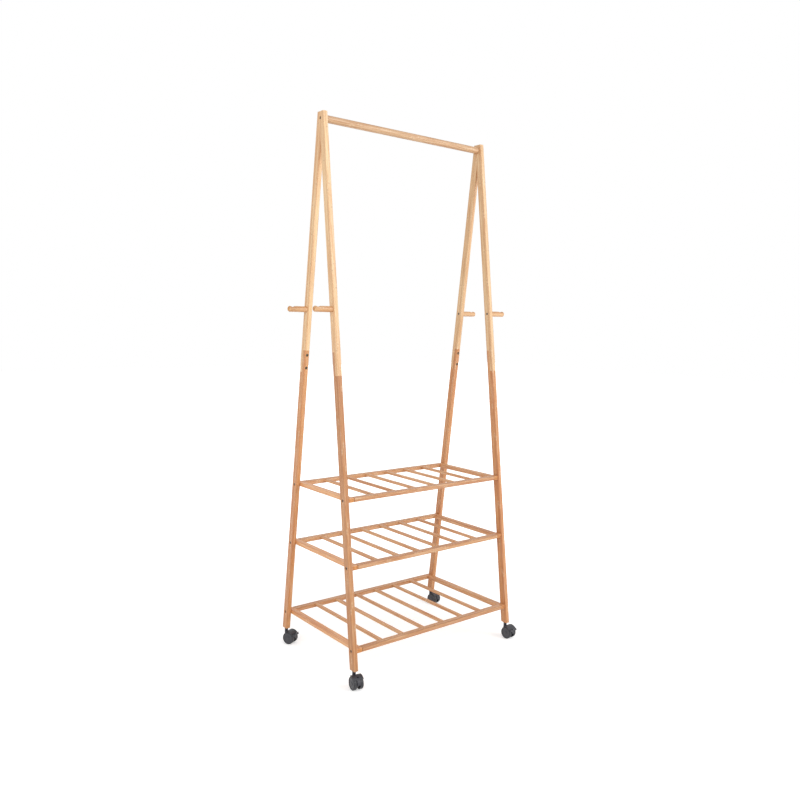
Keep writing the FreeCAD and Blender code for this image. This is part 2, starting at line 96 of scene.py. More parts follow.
def islands(obj):
    """Centre and box of each separate solid in a CAD node's mesh, in metres."""
    mesh = obj.data
    parent = {}

    def root(key):
        while parent[key] != key:
            parent[key] = parent[parent[key]]
            key = parent[key]
        return key

    keys = [tuple(round(c * 1e6) for c in v.co) for v in mesh.vertices]
    for key in keys:
        parent.setdefault(key, key)
    for polygon in mesh.polygons:
        first = root(keys[polygon.vertices[0]])
        for index in polygon.vertices[1:]:
            parent[root(keys[index])] = first
    groups = {}
    for key, vertex in zip(keys, mesh.vertices):
        groups.setdefault(root(key), []).append(vertex.co)
    found = []
    for points in groups.values():
        low = Vector([min(p[i] for p in points) for i in range(3)])
        high = Vector([max(p[i] for p in points) for i in range(3)])
        found.append((low, high, points))
    return sorted(found, key=lambda g: tuple(round(c, 4) for c in g[0]))


# ------------------------------------------------------------------ sizes and colours
def colour_setting(name, description, hex_colour):
    return bpy.props.FloatVectorProperty(name=name, description=description, subtype="COLOR",
                                         size=4, min=0.0, max=1.0, default=linear(hex_colour))


def length_setting(name, description, metres):
    return bpy.props.FloatProperty(name=name, description=description, unit="LENGTH",
                                   min=0.0, default=metres, precision=5)


class RackWoodSettings(bpy.types.PropertyGroup):
    upper: colour_setting("Upper Legs", "Pale lacquered bamboo of the upper legs", "#F3D1A1")
    lower: colour_setting("Lower Legs", "Warmer bamboo of the lower legs", "#DDA168")
    rail: colour_setting("Hanging Rail", "Turned bamboo of the hanging rail", "#D9B78E")
    peg: colour_setting("Pegs", "Turned bamboo of the side pegs", "#E4BB89")
    shelf: colour_setting("Shelf Rails", "Planed bamboo of the shelf frames", "#DCA876")
    slat: colour_setting("Slats", "Planed bamboo of the slats", "#E2B07D")
    strip: length_setting("Strip Width", "Width of the strips each bar is glued from", 0.005)
    knot_step: length_setting("Node Spacing", "Distance between growth nodes along a strip", 0.235)


class RackSlatSettings(bpy.types.PropertyGroup):
    count: bpy.props.IntProperty(name="Slats", description="Slats in each shelf", default=6, min=1)
    width: length_setting("Width", "Width of a slat", 0.013)
    thick: length_setting("Thickness", "Thickness of a slat", 0.008)
    crown: length_setting("Edge Round", "Radius along a slat's edges", 0.0019)
    drop: length_setting("Drop", "Slat top below the shelf's top face", 0.001)
    bearer: length_setting("Rail Width", "Width of the shelf rails around the slats", 0.020)


class RackScrewSettings(bpy.types.PropertyGroup):
    chamfer: length_setting("Chamfer", "Bevel around a screw head", 0.0006)
    socket: length_setting("Socket", "Width of the hex socket across its corners", 0.0042)
    socket_depth: length_setting("Socket Depth", "Depth of the hex socket", 0.0024)
    zinc: colour_setting("Zinc", "Zinc plating of the screws", "#8F8A84")
    # the bolts' colour is set darker than the zinc to paint the shade in the recesses around their
    # heads
    bolt: colour_setting("Bolts", "Steel of the splice bolts, darkened to paint the shade in their recesses", "#5E5648")


class RackCasterSettings(bpy.types.PropertyGroup):
    housing: colour_setting("Hood", "Moulded black nylon of the hoods", "#302F36")
    wheel: colour_setting("Wheel Face", "Moulded black nylon of the wheel faces", "#39393F")
    tread: colour_setting("Tread", "Darker running surface of the wheels", "#202025")
    tread_ring: length_setting("Tread Ring", "Radius where the tread ring begins", 0.0168)


class RackStageSettings(bpy.types.PropertyGroup):
    floor: colour_setting("Floor", "Plain pale floor", "#F4F4F4")
    lens: bpy.props.FloatProperty(name="Lens", description="Focal length of the camera, in mm",
                                  default=34.51, min=1.0)
    key_power: bpy.props.FloatProperty(name="Key Light", description="Strength of the key light",
                                       unit="POWER", default=84.0, min=0.0)
    fill_power: bpy.props.FloatProperty(name="Fill Light", description="Strength of the fill light",
                                        unit="POWER", default=44.0, min=0.0)


SETTINGS = {
    "rack_wood": RackWoodSettings,
    "rack_slats": RackSlatSettings,
    "rack_screws": RackScrewSettings,
    "rack_casters": RackCasterSettings,
    "rack_stage": RackStageSettings,
}


# ------------------------------------------------------------------ bamboo
GRAIN = {
    # stretch along x, y and z, detail and roughness: drift is a slow change of tone over some
    # 300 mm of the bar; real fibres are 0.2 mm wide, and fleck draws them at 0.5 mm so that
    # they show
    "drift": ((0.03, 0.03, 0.0045), 2.0, 0.5),
    "streak": ((0.55, 0.55, 0.011), 3.0, 0.6),
    "fleck": ((1.9, 1.9, 0.06), 2.0, 0.55),
    "wobble": ((0.6, 0.6, 0.05), 2.0, 0.5),
}
SMOOTH = {"interpolation_type": "SMOOTHSTEP"}
MATH = "ShaderNodeMath"
VECTOR = "ShaderNodeVectorMath"
SPREAD = "ShaderNodeMapRange"
MIX = "ShaderNodeMix"


def bamboo_pattern():
    """Strips, fibres and growth nodes of a bar that runs along z, in millimetres."""
    group = bpy.data.node_groups.new("bamboo_pattern", "ShaderNodeTree")
    for name, kind in (("Place", "Vector"), ("Facing", "Vector"), ("Wood", "Color"),
                       ("Strip", "Float"), ("Node Step", "Float")):
        group.interface.new_socket(name, in_out="INPUT", socket_type="NodeSocket" + kind)
    for name, kind in (("Colour", "Color"), ("Roughness", "Float"), ("Height", "Float")):
        group.interface.new_socket(name, in_out="OUTPUT", socket_type="NodeSocket" + kind)
    given = group.nodes.new("NodeGroupInput").outputs

    place = add(group, "ShaderNodeSeparateXYZ", (given["Place"],)).outputs
    # each bar is glued from strips about 5 mm wide, and each strip has its own tone
    across = [add(group, MATH, (place[k], given["Strip"]), operation="DIVIDE") for k in (0, 1)]
    cells = [add(group, MATH, (a,), operation="FLOOR") for a in across]
    cell = add(group, "ShaderNodeCombineXYZ", cells)
    strip = add(group, "ShaderNodeTexWhiteNoise", {"Vector": cell}, noise_dimensions="3D")
    # glue lines about 0.2 mm wide between the strips
    seams = [add(group, MATH, (a, 0.5), operation="PINGPONG") for a in across]
    glue = add(group, MATH, seams, operation="MINIMUM")
    glue = add(group, SPREAD, (glue, 0.0, 0.045, 1.0, 0.0), **SMOOTH)
    grain = {}
    for layer, (stretch, detail, rough) in GRAIN.items():
        drawn = add(group, VECTOR, (given["Place"], stretch), operation="MULTIPLY")
        grain[layer] = add(group, "ShaderNodeTexNoise", {"Vector": drawn, "Scale": 1.0,
                                                         "Detail": detail, "Roughness": rough})
    drift, streak, fleck = grain["drift"], grain["streak"], grain["fleck"]
    # growth nodes: a dark scar about 3 mm long with a paler halo, at its own height in each strip
    turns = add(group, MATH, (place[2], given["Node Step"]), operation="DIVIDE")
    turns = add(group, MATH, (turns, strip), operation="ADD")
    wobble = add(group, MATH, (grain["wobble"], 0.5), operation="SUBTRACT")
    turns = add(group, MATH, (wobble, 0.018, turns), operation="MULTIPLY_ADD")
    off = add(group, MATH, (turns, 0.5), operation="PINGPONG")
    off = add(group, MATH, (0.5, off), operation="SUBTRACT")
    off = add(group, MATH, (off, given["Node Step"]), operation="MULTIPLY")
    # only some strips cross a node where it shows
    draw = add(group, VECTOR, (cell, (3.7, 1.9, 0.0)), operation="ADD")
    draw = add(group, "ShaderNodeTexWhiteNoise", {"Vector": draw}, noise_dimensions="3D")
    shows = add(group, SPREAD, (draw, 0.30, 0.45, 0.0, 1.0), **SMOOTH)
    rings = []
    for near, far in ((0.8, 3.6), (2.0, 13.0)):
        ring = add(group, SPREAD, (off, near, far, 1.0, 0.0), **SMOOTH)
        rings.append(add(group, MATH, (ring, shows), operation="MULTIPLY"))
    scar, halo = rings

    colour = given["Wood"]
    for source, low, high, amount, tint, blend in (
            (strip, 0.0, 1.0, 0.34, "#C98F5B", "MULTIPLY"),
            (drift, 0.35, 0.65, 0.22, "#D9A06A", "MULTIPLY"),
            (streak, 0.42, 0.70, 0.42, "#B97F4C", "MULTIPLY"),
            (streak, 0.50, 0.26, 0.30, "#FFF0D8", "MIX"),
            (fleck, 0.60, 0.72, 0.40, "#9A6A42", "MULTIPLY")):
        share = add(group, SPREAD, (source, low, high, 0.0, amount), **SMOOTH)
        colour = add(group, MIX, {0: share, 6: colour, 7: linear(tint)},
                     data_type="RGBA", blend_type=blend)
    for source, amount, tint in ((halo, 0.30, "#F3D9B4"), (scar, 0.30, "#8A5C34"),
                                 (glue, 0.22, "#6E4A2C")):
        share = add(group, MATH, (source, amount), operation="MULTIPLY")
        colour = add(group, MIX, {0: share, 6: colour, 7: linear(tint)}, data_type="RGBA")

    # sawn ends: darker, yellower wood full of fibre bundles some 0.7 mm apart
    facing = add(group, "ShaderNodeSeparateXYZ", (given["Facing"],)).outputs
    end = add(group, MATH, (facing[2],), operation="ABSOLUTE")
    end = add(group, SPREAD, (end, 0.80, 0.93, 0.0, 1.0), **SMOOTH)
    drawn = add(group, VECTOR, (given["Place"], (1.0, 1.0, 0.15)), operation="MULTIPLY")
    bundles = add(group, "ShaderNodeTexVoronoi", {"Vector": drawn, "Scale": 1.4})
    bundles = add(group, SPREAD, (bundles, 0.18, 0.34, 0.50, 0.0), **SMOOTH)
    sawn = add(group, MIX, {0: 1.0, 6: colour, 7: linear("#F0DDB8")},
               data_type="RGBA", blend_type="MULTIPLY")
    sawn = add(group, MIX, {0: bundles, 6: sawn, 7: linear("#7C4E28")}, data_type="RGBA")
    colour = add(group, MIX, {0: end, 6: colour, 7: sawn}, data_type="RGBA")

    pits = add(group, SPREAD, (fleck, 0.58, 0.74, 0.0, 1.0), **SMOOTH)
    height = add(group, MATH, (streak, 0.35), operation="MULTIPLY")
    for source, amount in ((scar, 0.55), (glue, -0.30), (pits, -0.22)):
        height = add(group, MATH, (source, amount, height), operation="MULTIPLY_ADD")
    rough = add(group, MATH, (fleck, 0.4), operation="MULTIPLY")
    rough = add(group, MATH, (streak, 0.6, rough), operation="MULTIPLY_ADD")
    rough = add(group, SPREAD, (rough, 0.35, 0.65, 0.40, 0.54), **SMOOTH)
    matt = add(group, MATH, (end, 0.68), operation="MULTIPLY")
    rough = add(group, MATH, (rough, matt), operation="MAXIMUM")
    add(group, "NodeGroupOutput", {"Colour": colour, "Roughness": rough, "Height": height})
    return group


def bamboo(name, wood, turn, shift):
    """Bamboo strips glued, planed and lacquered: lengthwise bands and dark growth nodes under a
    thin satin clear coat. turn is the rotation that stands the bar's length on z."""
    material = bpy.data.materials.new(name)
    material.use_nodes = True
    tree = material.node_tree
    tree.nodes.clear()
    sizes = bpy.context.scene.rack_wood
    where = add(tree, "ShaderNodeTexCoord").outputs
    place = add(tree, "ShaderNodeMapping", {"Vector": where["Object"], "Rotation": turn,
                                            "Location": shift, "Scale": (1000.0, 1000.0, 1000.0)})
    facing = add(tree, "ShaderNodeMapping", {"Vector": where["Normal"], "Rotation": turn},
                 vector_type="NORMAL")
    pattern = bpy.data.node_groups.get("bamboo_pattern") or bamboo_pattern()
    wood_look = add(tree, "ShaderNodeGroup", node_tree=pattern)
    tree.links.new(place.outputs[0], wood_look.inputs["Place"])
    tree.links.new(facing.outputs[0], wood_look.inputs["Facing"])
    wood_look.inputs["Wood"].default_value = wood
    wood_look.inputs["Strip"].default_value = sizes.strip / MM
    wood_look.inputs["Node Step"].default_value = sizes.knot_step / MM
    grain = add(tree, "ShaderNodeBump", {"Strength": 0.35, "Distance": 0.0006,
                                         "Height": wood_look.outputs["Height"]})
    shader = add(tree, "ShaderNodeBsdfPrincipled",
                 {"Base Color": wood_look.outputs["Colour"],
                  "Roughness": wood_look.outputs["Roughness"], "Normal": grain, "IOR": 1.5,
                  "Coat Weight": 0.12, "Coat Roughness": 0.28, "Coat IOR": 1.5})
    add(tree, "ShaderNodeOutputMaterial", {"Surface": shader.outputs[0]})
    return material


ALONG_X = (0.0, math.radians(90), 0.0)
ALONG_Y = (math.radians(90), 0.0, 0.0)


def along_leg(end):
    lean = math.radians(LEG_LEAN)
    return (-lean if end == "back" else lean, 0.0, 0.0)


def toned(colour, factor):
    """The same wood a little lighter or darker."""
    return tuple(min(1.0, c * factor) for c in colour[:3]) + (1.0,)


# ------------------------------------------------------------------ nylon and steel
def nylon(name, turn=None, centre=None):
    """Injection-moulded black nylon: a fine spark-eroded grain that breaks up the shine. Given a
    wheel's turn and centre, the running surface is darker and scuffed and the faces paler."""
    sizes = bpy.context.scene.rack_casters
    material = bpy.data.materials.new(name)
    material.use_nodes = True
    tree = material.node_tree
    tree.nodes.clear()
    where = add(tree, "ShaderNodeTexCoord").outputs["Object"]
    # mould grain of some 0.4 mm, drawn at 0.8 mm so that it shows, under 12 mm clouds of handling
    grit = add(tree, "ShaderNodeTexNoise", {"Vector": where, "Scale": 1250.0, "Detail": 2.0})
    cloud = add(tree, "ShaderNodeTexNoise", {"Vector": where, "Scale": 85.0, "Detail": 3.0})
    scuffs = add(tree, "ShaderNodeTexNoise", {"Vector": where, "Scale": 420.0, "Detail": 4.0,
                                              "Distortion": 0.8})
    base = sizes.housing
    colour = add(tree, "ShaderNodeMix", {0: cloud.outputs[0], 6: toned(base, 0.82),
                                         7: toned(base, 1.25)}, data_type="RGBA").outputs[2]
    rough = add(tree, "ShaderNodeMapRange", {0: grit.outputs[0], 1: 0.3, 2: 0.7, 3: 0.36, 4: 0.52})
    height = grit.outputs[0]
    if turn is not None:
        to_hub = tuple(-c for c in centre)
        local = add(tree, "ShaderNodeMapping", {"Vector": where, "Location": to_hub})
        square = add(tree, "ShaderNodeMapping", {"Vector": local, "Rotation": (0, 0, -turn)})
        flat = add(tree, "ShaderNodeVectorMath", {0: square.outputs[0], 1: (1.0, 0.0, 1.0)},
                   operation="MULTIPLY")
        radius = add(tree, "ShaderNodeVectorMath", {0: flat}, operation="LENGTH")
        ring = add(tree, "ShaderNodeMapRange", {0: radius, 1: sizes.tread_ring - 0.0003,
                                                2: sizes.tread_ring + 0.0005})
        face = add(tree, "ShaderNodeMix", {0: cloud.outputs[0], 6: toned(sizes.wheel, 0.85),
                                           7: toned(sizes.wheel, 1.2)}, data_type="RGBA")
        # turned mould marks 1.1 mm apart on the faces
        marks = add(tree, "ShaderNodeMath", {0: radius, 1: 5700.0}, operation="MULTIPLY")
        marks = add(tree, "ShaderNodeMath", {0: marks.outputs[0]}, operation="SINE")
        worn = add(tree, "ShaderNodeMapRange", {0: scuffs.outputs[0], 1: 0.55, 2: 0.7})
        tread = add(tree, "ShaderNodeMix", {0: worn.outputs[0], 6: sizes.tread,
                                            7: toned(sizes.wheel, 1.35)}, data_type="RGBA")
        colour = add(tree, "ShaderNodeMix", {0: ring.outputs[0], 6: face.outputs[2],
                                             7: tread.outputs[2]}, data_type="RGBA").outputs[2]
        height = add(tree, "ShaderNodeMath", {0: marks.outputs[0], 1: 0.12, 2: grit.outputs[0]},
                     operation="MULTIPLY_ADD").outputs[0]
    bump = add(tree, "ShaderNodeBump", {"Strength": 0.25, "Distance": 0.0003, "Height": height})
    shader = add(tree, "ShaderNodeBsdfPrincipled", {"Base Color": colour, "Roughness": rough,
                                                    "Normal": bump, "IOR": 1.53})
    add(tree, "ShaderNodeOutputMaterial", {"Surface": shader.outputs[0]})
    return material


def plated(name, colour):
    """Zinc-plated steel: metal with a soft grey bloom and tumbling marks, never mirror bright."""
    material = bpy.data.materials.new(name)
    material.use_nodes = True
    tree = material.node_tree
    tree.nodes.clear()
    where = add(tree, "ShaderNodeTexCoord").outputs["Object"]
    # bloom in patches of about 3 mm, and tumbling marks about 0.4 mm long
    bloom = add(tree, "ShaderNodeTexNoise", {"Vector": where, "Scale": 330.0, "Detail": 3.0})
    marks = add(tree, "ShaderNodeTexNoise", {"Vector": where, "Scale": 2400.0, "Detail": 2.0,
                                             "Distortion": 1.5})
    tone = add(tree, "ShaderNodeMix", {0: bloom.outputs[0], 6: toned(colour, 0.7),
                                       7: toned(colour, 1.2)}, data_type="RGBA")
    rough = add(tree, "ShaderNodeMapRange", (bloom, 0.35, 0.65, 0.28, 0.5))
    bump = add(tree, "ShaderNodeBump", {"Strength": 0.2, "Distance": 0.0001, "Height": marks})
    shader = add(tree, "ShaderNodeBsdfPrincipled", {"Base Color": tone.outputs[2], "Metallic": 1.0,
                                                    "Roughness": rough.outputs[0],
                                                    "Normal": bump.outputs[0]})
    add(tree, "ShaderNodeOutputMaterial", {"Surface": shader.outputs[0]})
    return material


# ------------------------------------------------------------------ geometry trees
def new_tree(name, sockets):
    tree = bpy.data.node_groups.new(name, "GeometryNodeTree")
    tree.is_modifier = True
    tree.interface.new_socket("Geometry", in_out="OUTPUT", socket_type="NodeSocketGeometry")
    tree.interface.new_socket("Geometry", in_out="INPUT", socket_type="NodeSocketGeometry")
    for label, kind in sockets:
        tree.interface.new_socket(label, in_out="INPUT", socket_type="NodeSocket" + kind)
    return tree, tree.nodes.new("NodeGroupInput").outputs


def close_tree(tree, geometry, material):
    real = add(tree, "GeometryNodeRealizeInstances", {0: geometry})
    painted = add(tree, "GeometryNodeSetMaterial", {0: real.outputs[0], "Material": material})
    add(tree, "NodeGroupOutput", {0: painted.outputs[0]})


def slat_tree():
    """Row of rounded slats: one bar drawn from its section, then set at equal steps along x."""
    tree, given = new_tree("slat_row", (("Count", "Int"), ("Step", "Vector"), ("First", "Vector"),
                                        ("Width", "Float"), ("Thickness", "Float"),
                                        ("Length", "Float"), ("Edge Round", "Float"),
                                        ("Material", "Material")))
    section = add(tree, "GeometryNodeCurvePrimitiveQuadrilateral",
                  {"Width": given["Width"], "Height": given["Thickness"]})
    rounded = add(tree, "GeometryNodeFilletCurve", {"Curve": section.outputs[0],
                                                    "Radius": given["Edge Round"], "Count": 4},
                  mode="POLY")
    face = add(tree, "GeometryNodeFillCurve", {"Curve": rounded.outputs[0]}, mode="NGONS")
    length = add(tree, "ShaderNodeCombineXYZ", {2: given["Length"]})
    bar = add(tree, "GeometryNodeExtrudeMesh", {"Mesh": face, "Offset": length,
                                                "Offset Scale": 1.0, "Individual": False})
    foot = add(tree, "GeometryNodeFlipFaces", {"Mesh": face.outputs[0]})
    both = add(tree, "GeometryNodeJoinGeometry", ([bar, foot],))
    closed = add(tree, "GeometryNodeMergeByDistance", {"Geometry": both, "Distance": 1e-6})
    half = add(tree, "ShaderNodeMath", {0: given["Length"], 1: 0.5}, operation="MULTIPLY")
    centred = add(tree, "ShaderNodeCombineXYZ", {1: half.outputs[0]})
    laid = add(tree, "GeometryNodeTransform", {"Geometry": closed.outputs[0],
                                               "Translation": centred.outputs[0],
                                               "Rotation": (math.radians(90), 0.0, 0.0)})
    row = add(tree, "GeometryNodeMeshLine", {"Count": given["Count"], "Offset": given["Step"],
                                             "Start Location": given["First"]})
    placed = add(tree, "GeometryNodeInstanceOnPoints", {"Points": row.outputs[0],
                                                        "Instance": laid.outputs[0]})
    close_tree(tree, placed.outputs[0], given["Material"])
    return tree


SHANK = 5.0                       # mm, all the rack's screws and bolts are M5
OVERRUN = 0.5                     # mm that a bar goes past the face it is cut or joined at
HEAD_SIDES, SHANK_SIDES, SOCKET_SIDES = 40, 24, 6


def screw_tree():
    """Socket screw with a chamfered head, drawn in millimetres and set at each point, with its
    head's face along the point's aim."""
    tree, given = new_tree("socket_screws", (("Head", "Float"), ("Head Height", "Float"),
                                             ("Chamfer", "Float"), ("Shank", "Float"),
                                             ("Shank Length", "Float"), ("Socket", "Float"),
                                             ("Socket Depth", "Float"), ("Material", "Material")))
    head_r, shank_r, socket_r = [add(tree, MATH, (given[name], 0.5), operation="MULTIPLY")
                                 for name in ("Head", "Shank", "Socket")]
    base, pit = [add(tree, MATH, (given[name], -1.0), operation="MULTIPLY")
                 for name in ("Head Height", "Socket Depth")]
    rim_r = add(tree, MATH, (head_r, given["Chamfer"]), operation="SUBTRACT")
    below = add(tree, MATH, (base, OVERRUN), operation="SUBTRACT")
    # a taper of 45 degrees from the rim down past the head's underside
    wide_r = add(tree, MATH, (rim_r, below), operation="SUBTRACT")
    neck = add(tree, MATH, (base, OVERRUN), operation="ADD")
    tip = add(tree, MATH, (base, given["Shank Length"]), operation="SUBTRACT")
    bars = []
    for low_r, high_r, low, high, sides in ((head_r, head_r, base, OVERRUN, HEAD_SIDES),
                                            (wide_r, rim_r, below, 0.0, HEAD_SIDES),
                                            (shank_r, shank_r, tip, neck, SHANK_SIDES),
                                            (socket_r, socket_r, pit, OVERRUN, SOCKET_SIDES)):
        depth = add(tree, MATH, (high, low), operation="SUBTRACT")
        cone = add(tree, "GeometryNodeMeshCone", {"Vertices": sides, "Radius Top": high_r,
                                                  "Radius Bottom": low_r, "Depth": depth})
        foot = add(tree, "ShaderNodeCombineXYZ", {2: low})
        bars.append(add(tree, "GeometryNodeTransform", {"Geometry": cone, "Translation": foot}))
    drum, taper, shank, hexagon = bars
    head = add(tree, "GeometryNodeMeshBoolean", {"Mesh 2": [drum, taper]},
               operation="INTERSECT", solver="EXACT")
    whole = add(tree, "GeometryNodeMeshBoolean", {"Mesh 2": [head, shank]},
                operation="UNION", solver="EXACT")
    screw = add(tree, "GeometryNodeMeshBoolean", {"Mesh 1": whole, "Mesh 2": hexagon},
                operation="DIFFERENCE", solver="EXACT")
    metres = add(tree, "GeometryNodeTransform", {"Geometry": screw, "Scale": (MM, MM, MM)})
    aim = add(tree, "GeometryNodeInputNamedAttribute", {"Name": "aim"}, data_type="FLOAT_VECTOR")
    turn = add(tree, "FunctionNodeAlignRotationToVector", {"Vector": aim}, axis="Z")
    placed = add(tree, "GeometryNodeInstanceOnPoints", {"Points": given["Geometry"],
                                                        "Instance": metres, "Rotation": turn})
    close_tree(tree, placed, given["Material"])
    return tree


def grow(name, tree, values, points=(), aims=()):
    """Runs a geometry tree on points and turns the result into a plain mesh piece."""
    mesh = bpy.data.meshes.new(name + "_points")
    mesh.from_pydata([tuple(p) for p in points], [], [])
    if aims:
        attribute = mesh.attributes.new("aim", "FLOAT_VECTOR", "POINT")
        attribute.data.foreach_set("vector", [c for aim in aims for c in aim])
    seed = bpy.data.objects.new(name + "_points", mesh)
    bpy.context.scene.collection.objects.link(seed)
    modifier = seed.modifiers.new(name, "NODES")
    modifier.node_group = tree
    for item in tree.interface.items_tree:
        if item.in_out == "INPUT" and item.name in values:
            modifier[item.identifier] = values[item.name]
    bpy.context.view_layer.update()
    evaluated = seed.evaluated_get(bpy.context.evaluated_depsgraph_get())
    made = bpy.data.meshes.new_from_object(evaluated)
    bpy.data.objects.remove(seed)
    made.name = name
    piece = bpy.data.objects.new(name, made)
    bpy.context.scene.collection.objects.link(piece)
    if not made.polygons:
        raise RuntimeError(name + " came out empty")
    return piece


# ------------------------------------------------------------------ operators
class RackLegs(bpy.types.Operator):
    """Gives each leg its own length of bamboo"""
    bl_idname = "rack.legs"
    bl_label = "Bamboo Legs"
    bl_options = {"REGISTER", "UNDO"}

    def execute(self, context):
        sizes = context.scene.rack_wood
        # the right frame's wood is set darker than the left one's, and the left frame's lower legs
        # are browner than its upper ones
        side_tone = {"left": 1.0, "right": 0.93}
        browner = {"lower_leg_left_front": 0.80, "lower_leg_left_back": 0.95}
        for number, (side, end) in enumerate((s, e) for s in SIDES for e in ENDS):
            for part, wood in (("upper", sizes.upper), ("lower", sizes.lower)):
                node = "%s_leg_%s_%s" % (part, side, end)
                along = 173.0 * number + (61.0 if part == "lower" else 0.0)
                shift = (2.2, 1.7 + 10.0 * number, along)
                tone = side_tone[side] * browner.get(node, 1.0)
                dress(NODES[node], bamboo("lacquered_bamboo_" + node, toned(wood, tone),
                                          along_leg(end), shift))
        return {"FINISHED"}


class RackRailAndPegs(bpy.types.Operator):
    """Gives the hanging rail and the side pegs turned bamboo, and the dowels plain beech"""
    bl_idname = "rack.rail_and_pegs"
    bl_label = "Rail and Pegs"
    bl_options = {"REGISTER", "UNDO"}

    def execute(self, context):
        sizes = context.scene.rack_wood
        dress(NODES["hanging_rail"], bamboo("turned_bamboo_hanging_rail", sizes.rail, ALONG_X,
                                            (1.3, 2.1, 40.0)))
        for number, (side, end) in enumerate((s, e) for s in SIDES for e in ENDS):
            node = "side_peg_%s_%s" % (side, end)
            dress(NODES[node], bamboo("turned_bamboo_" + node, sizes.peg, ALONG_X,
                                      (0.7, 1.9, 90.0 * number)))
        for node in ("mitre_dowels", "shelf_corner_dowels"):
            dress(NODES[node], bamboo("milled_beech_" + node, sizes.peg, ALONG_X,
                                      (0.4, 0.9, 15.0)))
        return {"FINISHED"}


class RackShelfFrames(bpy.types.Operator):
    """Gives the rails of the three shelves planed bamboo"""
    bl_idname = "rack.shelf_frames"
    bl_label = "Shelf Frames"
    bl_options = {"REGISTER", "UNDO"}

    def execute(self, context):
        wood = context.scene.rack_wood.shelf
        for number, shelf in enumerate(SHELVES):
            for step, side in enumerate(SIDES):
                node = "%s_shelf_%s_rail" % (shelf, side)
                shift = (2.6, 1.4, 131.0 * number + 57.0 * step)
                dress(NODES[node], bamboo("planed_bamboo_" + node, toned(wood, 1.18 - 0.16 * step),
                                          ALONG_Y, shift))
            for step, end in enumerate(ENDS):
                node = "%s_shelf_%s_rail" % (shelf, end)
                shift = (1.1, 2.3, 97.0 * number + 43.0 * step)
                dress(NODES[node], bamboo("planed_bamboo_" + node, toned(wood, 0.88 + 0.04 * step),
                                          ALONG_X, shift))
        return {"FINISHED"}


class RackSlats(bpy.types.Operator):
    """Lays the slats of each shelf between its front and back rails"""
    bl_idname = "rack.slats"
    bl_label = "Slats"
    bl_options = {"REGISTER", "UNDO"}

    def execute(self, context):
        sizes = context.scene.rack_slats
        wood = context.scene.rack_wood.slat
        tree = slat_tree()
        for number, shelf in enumerate(SHELVES):
            front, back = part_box(shelf + "_shelf_front_rail"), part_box(shelf + "_shelf_back_rail")
            width = front[1].x - front[0].x
            step = width / (sizes.count + 1)
            height = front[1].z - sizes.drop - sizes.thick / 2
            name = shelf + "_shelf_slat_row"
            paint = bamboo("planed_bamboo_" + name, wood, ALONG_Y,
                           (1.9, 2.4, 111.0 * number + 20.0))
            piece = grow(name, tree, {
                "Count": sizes.count, "Step": (step, 0.0, 0.0),
                "First": (front[0].x + step, (front[1].y + back[0].y) / 2, height),
                "Width": sizes.width, "Thickness": sizes.thick,
                "Length": back[0].y - front[1].y, "Edge Round": sizes.crown, "Material": paint,
            }, points=[(0.0, 0.0, 0.0)])
            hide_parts(shelf + "_shelf_slats")
            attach(piece, "frame")
        return {"FINISHED"}


LEAN = math.radians(LEG_LEAN)
SCREW_AIMS = {
    # which way each head faces, at the right back corner
    "splice_bolts": Vector((0.0, -math.cos(LEAN), -math.sin(LEAN))),
    "shelf_screws": Vector((1.0, 0.0, 0.0)),
    "rail_screws": Vector((1.0, 0.0, 0.0)),
    "peg_screws": Vector((-1.0, 0.0, 0.0)),
}
SCREW_HEADS = {
    # head height and slot in the record
    "splice_bolts": (4.0, "zinc_bolt"),
    "shelf_screws": (4.5, "zinc_screw"),
    "rail_screws": (4.5, "zinc_screw"),
    "peg_screws": (4.5, "zinc_screw"),
}


class RackScrews(bpy.types.Operator):
    """Makes the zinc-plated socket screws and bolts where the frame holds them"""
    bl_idname = "rack.screws"
    bl_label = "Screws and Bolts"
    bl_options = {"REGISTER", "UNDO"}

    def execute(self, context):
        sizes = context.scene.rack_screws
        zinc = plated("zinc_plated_steel", sizes.zinc)
        # the splice bolts get a darker steel: a painted shade for the recesses around their heads
        bolt_steel_darkened_for_shade = plated("bolt_steel_with_painted_shade", sizes.bolt)
        tree = screw_tree()
        for node, aim in SCREW_AIMS.items():
            places, aims = [], []
            for low, high, points in islands(NODES[node]):
                middle = (low + high) / 2
                out = Vector((aim.x * math.copysign(1.0, middle.x),
                              aim.y * math.copysign(1.0, middle.y), aim.z))
                across = Vector((1.0, 0.0, 0.0)) if abs(out.x) < 0.5 else Vector((0.0, 1.0, 0.0))
                place = Vector()
                spans = []
                for direction in (across, out.cross(across)):
                    reach = [p.dot(direction) for p in points]
                    place += direction * (max(reach) + min(reach)) / 2
                    spans.append(max(reach) - min(reach))
                reach = [p.dot(out) for p in points]
                places.append(place + out * max(reach))
                aims.append(out)
                length = max(reach) - min(reach)
            head_height, slot = SCREW_HEADS[node]
            piece = grow(node + "_zinc", tree, {
                "Head": spans[0] / MM, "Head Height": head_height, "Chamfer": sizes.chamfer / MM,
                "Shank": SHANK, "Shank Length": length / MM - head_height,
                "Socket": sizes.socket / MM, "Socket Depth": sizes.socket_depth / MM,
                "Material": bolt_steel_darkened_for_shade if node == "splice_bolts" else zinc,
            }, points=places, aims=aims)
            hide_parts(node)
            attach(piece, "frame")
        for node in ("splice_inserts", "shelf_inserts", "caster_stem_inserts"):
            dress(NODES[node], zinc)
        dress(NODES["caster_stems"], plated("dark_plated_stem_steel", linear("#3F3D3B")))
        return {"FINISHED"}


